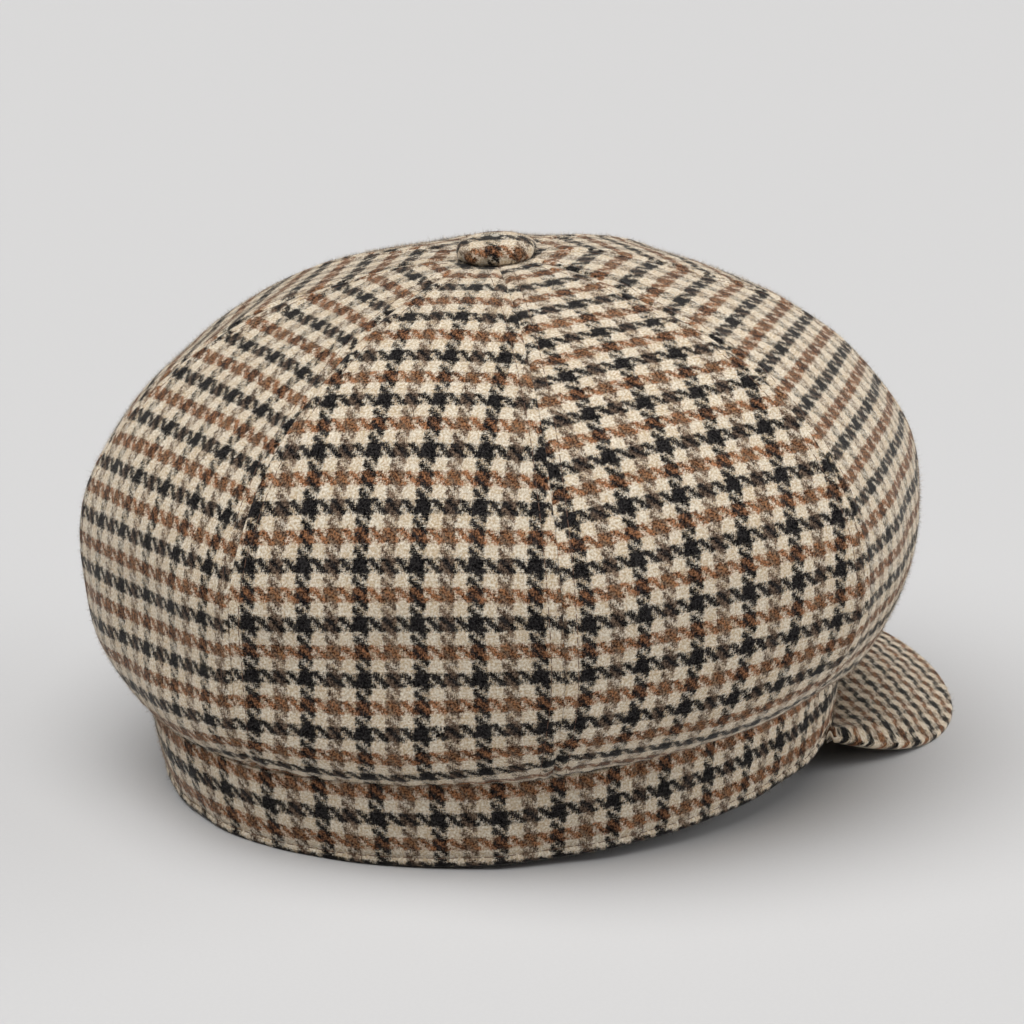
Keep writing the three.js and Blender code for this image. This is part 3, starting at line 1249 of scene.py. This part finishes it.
@dataclass
class Crown:
    """The crown: eight gores from the band to the button, each top-stitched on both sides of its seams.

    Attributes:
        panels: number of gores.
        half_width: half its greatest width.
        front_reach: how far its widest level reaches to the front.
        back_reach: how far it reaches to the back.
        widest_height: height of its widest level.
        top_height: height of its top.
        forward: how far its widest level stands in front of the band's middle.
        top_forward: how far its top does.
        lower_roundness: 2 for an ellipse below the widest level, less for a flatter curve.
        flatness: how flat a gore is from seam to seam.
        wall: thickness of the cloth.
        turn_in: how far its base lies inside the band's outer face.
        top_hole: radius where the gores end under the button.
        dimple: how deep the button is drawn into the top.
        dimple_breadth: how far from the middle the top is drawn down.
        seam_gap: gap between crown and band.
        groove: depth of the seams.
        groove_breadth: how far beside a seam the cloth is drawn down.
        ridge: how far the turned cloth under a seam raises it.
        stitch_row: distance of the top stitches from a seam.
        pinch: how deep the stitches draw the cloth in.
        pinch_breadth: how far beside the stitches.
        lip: how far the rolled base stands out over the band.
        gathers: depth of the gathers along the base.
        rows: crossings up a gore.
        columns: crossings across a gore.
        lies: how the check lies on each gore.
    """

    band: Band
    rest: Rest
    panels: int = 8
    half_width: float = 122.3
    front_reach: float = 120.6
    back_reach: float = 117.7
    widest_height: float = 65.0
    top_height: float = 140.5
    forward: float = 4.15
    top_forward: float = 6.0
    lower_roundness: float = 1.82
    flatness: float = 0.59
    wall: float = 2.0
    turn_in: float = 1.6
    top_hole: float = 5.0
    dimple: float = 2.0
    dimple_breadth: float = 15.0
    seam_gap: float = 0.3
    groove: float = 0.6
    groove_breadth: float = 1.2
    ridge: float = 0.3
    stitch_row: float = 3.5
    pinch: float = 0.32
    pinch_breadth: float = 0.7
    lip: float = 1.1
    gathers: float = 0.3
    rows: int = 125
    columns: int = 65
    unevenness: Unevenness = Unevenness()
    # Columns: across, along, lean, slant, fan, twist, ease and bow.
    lies: dict[str, CheckLie] = field(default_factory=lambda: {
        "right_1": CheckLie(4.0, 1.5, 0.03, 0.02, 0.03, 0.02, 0.03, -1.0),
        "right_2": CheckLie(13.1, 5.9, -0.03, -0.02, -0.08, 0.07, 0.1, -2.1),
        "right_3": CheckLie(10.4, 7.1, -0.086, 0.015, -0.04, -0.018, 0.066, 0.0),
        "right_4": CheckLie(10.4, 12.5, 0.041, -0.052, 0.025, 0.017, 0.0, -2.4),
        "left_4": CheckLie(14.4, 4.1, 0.006, -0.048, -0.01, 0.062, 0.014, -0.9),
        "left_3": CheckLie(3.0, 9.2, 0.03, -0.03, 0.02, 0.02, 0.02, -1.2),
        "left_2": CheckLie(7.5, 2.3, -0.03, 0.02, -0.02, 0.0, 0.03, -0.8),
        "left_1": CheckLie(12.2, 11.0, 0.02, 0.01, 0.0, 0.02, 0.02, -1.0),
    })

    def panel_name(self, index: int) -> str:
        """Side and number of a gore, counted from the front."""
        half = self.panels // 2
        side, number = (Side.RIGHT, index + 1) if index < half else (Side.LEFT, self.panels - index)
        return f"{side.value}_{number}"

    def section(self, angle: np.ndarray, rise: np.ndarray) -> tuple[np.ndarray, np.ndarray]:
        """The smooth outside of the crown.

        Args:
            angle: compass angle in radians.
            rise: from -90 degrees at the band through 0 at the widest level to 90 at the top, in radians.

        Returns:
            Radius and height.
        """
        base = self.band.radius(angle, self.band.height) - self.turn_in
        widest = oval_radius(angle, self.half_width, self.front_reach, self.back_reach)
        foot = self.band.height + self.seam_gap
        below = rise < 0
        power = np.where(below, 2 / self.lower_roundness, 1.0)
        out = np.abs(np.cos(rise)) ** power
        up = np.abs(np.sin(rise)) ** power
        wedge = 2 * math.pi / self.panels
        from_middle = np.mod(angle, wedge) - wedge / 2
        chord = math.cos(wedge / 2) / np.cos(from_middle)
        flat = self.flatness * np.where(below, 1 - up, 1.0)
        drawn_in = 1 - flat * (1 - chord)
        radius = np.where(below, base + (widest - base) * out, widest * out) * drawn_in
        lower = self.widest_height - (self.widest_height - foot) * up
        upper = self.widest_height + (self.top_height - self.widest_height) * up
        return radius, np.where(below, lower, upper)

    def leans(self, height: np.ndarray) -> np.ndarray:
        """How far the crown's middle stands in front of the band's middle at a height."""
        below = eased(height, self.band.height, self.widest_height)
        above = eased(height, self.widest_height, self.top_height)
        return self.forward * below + (self.top_forward - self.forward) * above

    def outward(self, angle: np.ndarray, rise: np.ndarray) -> tuple[np.ndarray, np.ndarray]:
        """Outward direction of the smooth crown in the upright plane through its axis.

        Args:
            angle: compass angle in radians.
            rise: rise in radians.

        Returns:
            Its shares along the radius and the height.
        """
        step = 0.002
        below = self.section(angle, np.maximum(rise - step, -math.pi / 2))
        above = self.section(angle, np.minimum(rise + step, math.pi / 2))
        out, up = above[1] - below[1], below[0] - above[0]
        size = np.hypot(out, up)
        return out / size, up / size

    def rises(self, middle: float) -> tuple[np.ndarray, np.ndarray]:
        """Spaces the rows of a gore along its middle, closer toward the band.

        Args:
            middle: compass angle of the gore's middle.

        Returns:
            Rise of each row, and its distance along the gore from the band.
        """
        end = math.acos(self.top_hole / self.half_width)
        fine = np.linspace(-math.pi / 2, end, 3001)
        radius, height = self.section(np.full_like(fine, middle), fine)
        travelled = path_lengths(np.stack([radius, height], axis=-1))
        share = np.linspace(0, 1, self.rows) ** 1.35
        along = share * travelled[-1]
        return np.interp(along, travelled, fine), along

    def sewing(self, from_seam: np.ndarray, along: np.ndarray, half: np.ndarray) -> np.ndarray:
        """How far seams and top stitches raise or draw in the cloth.

        Args:
            from_seam: distance from the nearest seam.
            along: distance along the gore from the band.
            half: half the gore's width there.

        Returns:
            The raise, in millimetres.
        """
        each_stitch = np.sin(along * 2 * math.pi / TopStitch.pitch)
        puckers = 1 + 0.45 * each_stitch + 0.4 * np.sin(along * 0.53 + 1.2)
        raised = self.ridge * (1 - eased(from_seam, self.stitch_row, self.stitch_row + 3.5))
        raised = raised - self.groove * hump(from_seam, 0.0, self.groove_breadth)
        raised = raised - self.pinch * hump(from_seam, self.stitch_row, self.pinch_breadth) * puckers
        return raised * eased(half, 2.0, 10.0)

    def panel(self, index: int) -> PanelNet:
        """Works out a gore.

        Args:
            index: its number, from the front to the wearer's right and round.

        Returns:
            Its faces and sizes, upright.
        """
        wedge = 2 * math.pi / self.panels
        middle = (index + 0.5) * wedge
        rise, along = self.rises(middle)
        rise, along = rise[:, None], along[:, None]
        even = np.linspace(1, -1, self.columns)
        share = np.sign(even) * (1 - (1 - np.abs(even)) ** 1.5)
        clear = 0.05 / self.section(np.full_like(rise, middle), rise)[0]
        angle = middle + share * (wedge / 2 - clear)
        rise = np.broadcast_to(rise, angle.shape)
        radius, height = self.section(angle, rise)
        smooth = on_compass(angle, radius, height, self.leans(height))
        steps = np.linalg.norm(np.diff(smooth, axis=1), axis=-1)
        travelled = np.concatenate([np.zeros((len(steps), 1)), np.cumsum(steps, axis=1)], axis=1)
        half = travelled[:, -1:] / 2
        across = travelled - half
        from_seam = half - np.abs(across)
        out, up = self.outward(angle, rise)
        proud = self.sewing(from_seam, along, half) + self.unevenness.at(smooth) * eased(along, 0.0, 14.0)
        ripple = np.sin(across * 0.85 + 2.0 * np.sin(across * 0.21 + index))
        gathers = self.gathers * ripple * np.exp(-along / 7.0)
        proud = proud + gathers * eased(along, 0.5, 3.0)
        rolled = self.lip * hump(along, 1.6, 0.9)
        leans = self.leans(height)
        sunk = self.dimple * hump(radius, 0.0, self.dimple_breadth)
        height = height - sunk * (height > self.widest_height)
        outer = on_compass(angle, radius + proud * out + rolled, height + proud * up, leans)
        inner = on_compass(angle, radius - self.wall * out, height - self.wall * up, leans)
        # Straight rows of the cut cloth climb beside the middle where the gore narrows.
        slope = np.gradient(radius[:, self.columns // 2], along[:, 0])[:, None]
        flat_share = self.flatness * (1 - eased(-rise[:, :1], 0.3, 1.4))
        bend = -(1 - flat_share) * slope / radius[:, self.columns // 2][:, None]
        flat = self.lies[self.panel_name(index)].lay(across, along + bend * across**2 / 2)
        width = 2 * half[:, 0]
        return PanelNet(
            ClothFace(outer, flat),
            ClothFace(inner, flat),
            from_seam,
            float(width.max()),
            float(along[-1, 0]),
            float(np.sum((width[1:] + width[:-1]) / 2 * np.diff(along[:, 0]))),
        )

    def build(self, material: Material) -> list[PanelNet]:
        """Makes the gores.

        Args:
            material: their cloth.

        Returns:
            The gores' nets.
        """
        nets = []
        for index in range(self.panels):
            net = self.panel(index)
            outer = ClothFace(self.rest.place(net.outer.points), net.outer.flat)
            inner = ClothFace(self.rest.place(net.inner.points), net.inner.flat)
            name = self.panel_name(index)
            piece = sew_shell(f"tweed_panel_{name}", outer, inner, material)
            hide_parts(f"crown_panel_{name}")
            LOG.info("%s: cut %.0f x %.0f mm", piece.name, net.width, net.length)
            nets.append(net)
        return nets

    def stitch(self, nets: list[PanelNet], stitch: TopStitch, material: Material) -> Object:
        """Sews a row of stitches along both sides of each gore.

        Args:
            nets: the gores.
            stitch: the stitches.
            material: their thread.

        Returns:
            All the rows.
        """
        sewn = Sewn("crown_topstitch")
        total = 0
        middle = self.columns // 2
        for net in nets:
            placed = self.rest.place(net.outer.points)
            normals = net_normals(placed)
            wide = (net.from_seam[:, middle] > self.stitch_row + 1.0) & (np.arange(self.rows) > 6)
            for columns in (slice(0, middle + 1), slice(None, middle - 1, -1)):
                path, up = [], []
                for row in np.flatnonzero(wide):
                    distance = net.from_seam[row, columns]
                    spot = np.interp(self.stitch_row, distance, np.arange(len(distance)))
                    low = min(int(spot), len(distance) - 2)
                    share = spot - low
                    for line, grid in ((path, placed), (up, normals)):
                        pair = grid[row, columns][low:low + 2]
                        line.append(pair[0] * (1 - share) + pair[1] * share)
                total += stitch.sew(sewn, np.array(path), np.array(up))
        LOG.info("crown_topstitch: %d stitches", total)
        return sewn.finish(material, THREAD_MAP)


@dataclass
class Peak:
    """The stiff peak, covered above and below.

    Attributes:
        root_half_angle: half the angle of its join to the band, in degrees.
        outline_half_angle: half the angle swept by its outline, in degrees.
        outline_half_width: half its outline's width.
        outline_reach: how far its outline reaches from the outline's middle.
        outline_centre: the outline's middle, along Y.
        root_height: height of the middle of its thickness at the join.
        slope: how fast it falls to the front.
        arch: how fast it falls to the sides.
        swell: how much its middle is raised.
        corner_share: how far its corners reach toward the outline.
        corner_lift: how much its corners are drawn up.
        corner_power: how short its corners are.
        thickness: its thickness at the join.
        rim_share: share of the thickness that is left at its rim.
        taper_start: share of the way to the rim at which it starts to thin.
        seam_gap: gap to the band.
        across: crossings from corner to corner.
        along: crossings from the join to the edge.
        check_start: place of the check at its middle, across and along the cloth.
        check_turn: turns of its columns and its rows from the cap's X axis, in degrees.
        check_ease: how much of the cloth a millimetre takes up, across and along.
    """

    band: Band
    rest: Rest
    root_half_angle: float = 66.0
    outline_half_angle: float = 106.0
    outline_half_width: float = 96.0
    outline_reach: float = 87.8
    outline_centre: float = -69.5
    root_height: float = 1.0
    slope: float = 0.208
    arch: float = 0.00197
    swell: float = 2.0
    corner_share: float = 0.35
    corner_lift: float = 2.4
    corner_power: float = 14.0
    thickness: float = 3.6
    rim_share: float = 0.6
    taper_start: float = 0.45
    seam_gap: float = 0.3
    across: int = 181
    along: int = 40
    check_start: tuple[float, float] = (0.2, 0.3)
    check_middle: tuple[float, float] = (-64.6, -105.4)
    check_turn: tuple[float, float] = (-45.0, -32.5)
    check_ease: tuple[float, float] = (1.01, 1.64)
    unevenness: Unevenness = Unevenness(swell=0.12, shortest=14.0, longest=50.0, seed=5)

    def lay_check(self, plan: np.ndarray) -> np.ndarray:
        """Places on the uncut cloth.

        Args:
            plan: places in plan, X and Y last.

        Returns:
            Places across and along the cloth, in the same shape.
        """
        columns, rows = np.radians(self.check_turn)
        aside, ahead = np.moveaxis(plan - np.array(self.check_middle), -1, 0)
        across = aside * math.cos(columns) + ahead * math.sin(columns)
        along = ahead * math.cos(rows) - aside * math.sin(rows)
        return np.stack([across, along], axis=-1) * np.array(self.check_ease) + np.array(self.check_start)

    def build(self, material: Material) -> tuple[Object, ClothFace]:
        """Makes the peak.

        Args:
            material: its cloth.

        Returns:
            The piece, and its upper face with its edge, in metres.
        """
        half = self.thickness / 2
        even = np.linspace(1, -1, self.across)
        share = np.sign(even) * (1 - (1 - np.abs(even)) ** 1.3)
        corner = np.abs(share) ** self.corner_power
        root_angle = math.radians(self.root_half_angle) * share
        edge_angle = math.radians(self.outline_half_angle) * share
        root_top = self.root_height + half + self.corner_lift * corner
        root = on_compass(root_angle, self.band.radius(root_angle, root_top) + self.seam_gap, 0.0, 0.0)
        outline = np.stack([
            -self.outline_half_width * np.sin(edge_angle),
            self.outline_centre - self.outline_reach * np.cos(edge_angle),
            np.zeros_like(share),
        ], axis=-1)
        rim = root + (outline - root) * (1 - (1 - self.corner_share) * corner)[:, None]
        outward = (rim - root) / np.linalg.norm(rim - root, axis=-1, keepdims=True)
        rim_half = half * self.rim_share
        edge = rim - outward * rim_half
        step = np.linspace(0, 1, self.along)[:, None]
        turn = np.radians(np.linspace(-90, 90, 11)[1:-1])[:, None]
        lower = root + (edge - root) * step[..., None]
        rounding = edge + outward * (rim_half * np.cos(turn))[..., None]
        plan = np.concatenate([lower, rounding, lower[::-1]])
        shares = np.concatenate([step, np.ones_like(turn), step[::-1]])
        taper = half * (1 - (1 - self.rim_share) * eased(step, self.taper_start, 1.0))
        offset = np.concatenate([-taper, rim_half * np.sin(turn), taper[::-1]])
        rise = self.swell * np.sin(math.pi * shares) + self.corner_lift * corner
        held = np.concatenate([lower, np.broadcast_to(edge, rounding.shape), lower[::-1]])
        fall = self.arch * held[..., 0] ** 2 + self.slope * (-held[..., 1] - self.band.half_length)
        upright = plan.copy()
        upright[..., 2] = self.root_height - fall + rise + offset
        upright[..., 2] += self.unevenness.at(plan) * np.sin(math.pi * shares)
        placed = self.rest.place(upright)
        beyond = np.concatenate([
            math.pi * rim_half + np.linalg.norm(edge - lower, axis=-1),
            np.broadcast_to((math.pi / 2 - turn) * rim_half, rounding.shape[:-1]),
            -np.linalg.norm(edge - lower[::-1], axis=-1),
        ])
        flat = self.lay_check((edge + outward * beyond[..., None])[..., :2])
        sewn = Sewn("tweed_peak")
        numbers = sewn.lay(placed)
        sewn.net(np.concatenate([numbers, numbers[:1]]), np.concatenate([flat, flat[-1:]]))
        size = len(numbers) // 2
        for column, back in ((-1, False), (0, True)):
            under, over = numbers[:size, column], numbers[-size:, column]
            under_flat, over_flat = flat[:size, column], flat[-size:, column]
            rows = (under, over[::-1]) if back else (under[::-1], over)
            flats = (under_flat, over_flat[::-1]) if back else (under_flat[::-1], over_flat)
            sewn.net(np.stack(rows), np.stack(flats))
        piece = sewn.finish(material)
        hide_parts("peak")
        return piece, ClothFace(placed[len(step):], flat[len(step):])


@dataclass
class CoveredButton:
    """The button on top, a cushion of cloth gathered under its rim.

    Attributes:
        radius: its radius.
        height: its height.
        rim: radius of its rim.
        fullness: how square its shoulders are, 1 for an ellipse and less for squarer ones.
        foot: height of its foot.
        forward: how far it stands in front of the band's middle.
        aside: how far it stands to the wearer's right.
        gathers: number of gathers round its rim.
        gather_depth: their depth.
        around: crossings round it.
        check_start: place of the check, across and along the cloth.
    """

    rest: Rest
    radius: float = 11.2
    height: float = 6.3
    rim: float = 2.0
    fullness: float = 0.72
    foot: float = 139.1
    forward: float = 6.6
    aside: float = 0.9
    gathers: int = 11
    gather_depth: float = 0.6
    around: int = 132
    turn: float = 217.0
    check_start: tuple[float, float] = (2.8, 3.6)

    def build(self, material: Material) -> tuple[Object, ClothFace]:
        """Makes the button.

        Args:
            material: its cloth.

        Returns:
            The piece, and its outer face in metres.
        """
        under = np.linspace(0.5, self.radius - self.rim, 8)
        tuck = np.radians(np.linspace(-90, 0, 10))[1:]
        dome = np.radians(np.linspace(0, 88, 30))[1:]
        core = self.radius - self.rim
        radius = np.concatenate([
            under,
            core + self.rim * np.cos(tuck),
            self.radius * np.cos(dome) ** self.fullness,
        ])
        up = np.concatenate([
            np.zeros_like(under),
            self.rim + self.rim * np.sin(tuck),
            self.rim + (self.height - self.rim) * np.sin(dome) ** self.fullness,
        ])
        angle = np.linspace(2 * math.pi, 0, self.around, endpoint=False)
        pleat = (0.5 + 0.5 * np.cos(angle * self.gathers + 1.1 * np.sin(3 * angle))) ** 2
        drawn = self.gather_depth * pleat * (hump(up, 0.9, 1.3) * eased(radius, 5.0, 10.0))[:, None]
        upright = on_compass(angle, radius[:, None] - drawn, self.foot + up[:, None], self.forward)
        set_aside = np.array([-self.aside, 0.0, 0.0])
        placed = self.rest.place(upright + set_aside)
        from_top = path_lengths(np.stack([radius, up], axis=-1))
        from_top = from_top[-1] - from_top
        compass = np.append(angle, 0.0) + math.radians(self.turn)
        flat = np.stack([
            -from_top[:, None] * np.sin(compass) + self.check_start[0],
            -from_top[:, None] * np.cos(compass) + self.check_start[1],
        ], axis=-1)
        sewn = Sewn("tweed_button")
        numbers = sewn.lay(placed)
        wrapped = np.concatenate([numbers, numbers[:, :1]], axis=1)
        sewn.net(wrapped, flat)
        ends = self.foot + np.array([0.0, self.height])
        middles = on_compass(np.zeros(2), np.zeros(2), ends, self.forward)
        poles = sewn.lay(self.rest.place(middles + set_aside))
        for row, pole in ((0, poles[0]), (-1, poles[1])):
            sewn.cap(wrapped[row], flat[row], pole, (flat[row, :-1] + flat[row, 1:]) / 2, last=row == -1)
        piece = sewn.finish(material)
        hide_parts("button")
        closed = np.concatenate([placed, placed[:, :1]], axis=1)
        return piece, ClothFace(closed[12:], flat[12:])


@dataclass(frozen=True)
class SoftLight:
    """A broad soft light that reaches the whole scene from one side.

    Attributes:
        name: what it is called.
        strength: its strength.
        breadth: how broad it looks from the floor, in degrees.
        comes_from: direction that it comes from.
        colour: its colour.
    """

    name: str
    strength: float
    breadth: float
    comes_from: tuple[float, float, float]
    colour: tuple[float, float, float] = (1.0, 0.99, 0.975)

    def hang(self) -> None:
        """Adds the light to the scene."""
        lamp = bpy.data.lights.new(self.name, "SUN")
        lamp.energy = self.strength
        lamp.angle = math.radians(self.breadth)
        lamp.color = self.colour
        light = bpy.data.objects.new(self.name, lamp)
        light.rotation_mode = "QUATERNION"
        light.rotation_quaternion = (-Vector(self.comes_from)).to_track_quat("-Z", "Y")
        link(light)


@dataclass(frozen=True)
class Studio:
    """Pale seamless floor, soft light and the camera.

    Attributes:
        floor_half: half the floor's width, in metres.
        floor_colour: the floor's screen colour.
        camera_place: where the camera stands, in metres.
        camera_aim: the point that it looks at.
        lens: its focal length on a 36 mm sensor.
        room_strength: strength of the even light of the room.
        lights: its broad soft lights.
    """

    floor_half: float = 6.0
    floor_colour: tuple[int, int, int] = (193, 193, 194)
    camera_place: tuple[float, float, float] = (-0.6098, 0.8216, 0.3371)
    camera_aim: tuple[float, float, float] = (-0.0021, 0.0178, 0.0719)
    lens: float = 128.57
    room_strength: float = 0.04
    lights: tuple[SoftLight, ...] = (
        SoftLight("broad_light_above", 3.85, 70.0, (0.04, 0.33, 0.945)),
        SoftLight("low_light_from_the_right", 3.2, 64.0, (-0.774, -0.635, 0.05)),
    )

    def lay_floor(self) -> None:
        """Lays the floor as a fine-grained sheet of paper."""
        material, desk, shader = new_material("studio_paper")
        place = desk.add("ShaderNodeTexCoord").outputs["Object"]
        grain = desk.noise(place, 900.0, 3.0).outputs["Fac"]
        tone = desk.remap(grain, 0.3, 0.7, 0.985, 1.0)
        paper = desk.blend(1.0, linear(self.floor_colour), tone, "MULTIPLY")
        desk.fill(shader, {"Base Color": paper, "Roughness": 0.85, "Specular IOR Level": 0.15})
        reach = self.floor_half
        mesh = bpy.data.meshes.new("studio_floor")
        corners = [(-reach, -reach, 0), (reach, -reach, 0), (reach, reach, 0), (-reach, reach, 0)]
        mesh.from_pydata(corners, [], [(0, 1, 2, 3)])
        mesh.materials.append(material)
        floor = bpy.data.objects.new("studio_floor", mesh)
        link(floor)

    def light(self) -> None:
        """Sets the even light of the room and the broad soft lights."""
        world = bpy.data.worlds.new("studio_room")
        world.use_nodes = True
        sky = world.node_tree.nodes["Background"]
        sky.inputs["Color"].default_value = (0.97, 0.985, 1.0, 1.0)
        sky.inputs["Strength"].default_value = self.room_strength
        bpy.context.scene.world = world
        for light in self.lights:
            light.hang()

    def set_camera(self) -> None:
        """Stands the camera where the photograph was taken from."""
        lens = bpy.data.cameras.new("studio_camera")
        lens.lens = self.lens
        lens.sensor_width = 36.0
        lens.clip_start, lens.clip_end = 0.05, 30.0
        camera = bpy.data.objects.new("studio_camera", lens)
        camera.location = self.camera_place
        camera.rotation_mode = "QUATERNION"
        aim = Vector(self.camera_aim) - Vector(self.camera_place)
        camera.rotation_quaternion = aim.to_track_quat("-Z", "Y")
        link(camera)
        bpy.context.scene.camera = camera
        bpy.context.scene.view_settings.view_transform = "Standard"


def main() -> None:
    """Builds and dresses the cap, then sets the studio."""
    logging.basicConfig(level=logging.INFO, format="%(message)s")
    rest = Rest()
    tweed = GunClubTweed()
    weave = tweed.weave_group()
    cloth, pressed, drawn = (tweed.cloth(weave, finish) for finish in (OPEN_NAP, PRESSED_SHADED_NAP, DRAWN_TIGHT))
    fibre, thread = tweed.nap(weave), SewingThread().material()
    stitch = TopStitch()
    short_nap = Nap(per_square_cm=285.0, shortest=0.35, longest=1.5, breadth=0.06, curled=False, seed=21)
    long_nap = Nap(per_square_cm=32.0, shortest=0.8, longest=2.0, breadth=0.035, curled=True, seed=22)

    band = Band(rest)
    # The band wears the pressed copy, which carries painted shade at slants.
    _, band_face = band.build(pressed)
    band.stitch(band_face, stitch, thread)
    crown = Crown(band, rest)
    nets = crown.build(cloth)
    crown.stitch(nets, stitch, thread)
    _, peak_face = Peak(band, rest).build(drawn)
    _, button_face = CoveredButton(rest).build(cloth)
    panel_faces = [ClothFace(rest.place(net.outer.points), net.outer.flat) for net in nets]
    trim_faces = [band_face, peak_face, button_face]
    half = crown.panels // 2
    for side, faces in ((Side.RIGHT, panel_faces[:half]), (Side.LEFT, panel_faces[half:])):
        short_nap.grow(f"crown_nap_{side.value}", faces, fibre)
    long_nap.grow("crown_stray_fibres", panel_faces, fibre)
    short_nap.grow("trim_nap", trim_faces, fibre)
    long_nap.grow("trim_stray_fibres", trim_faces, fibre)

    studio = Studio()
    studio.lay_floor()
    studio.light()
    studio.set_camera()


if __name__ == "__main__":
    main()
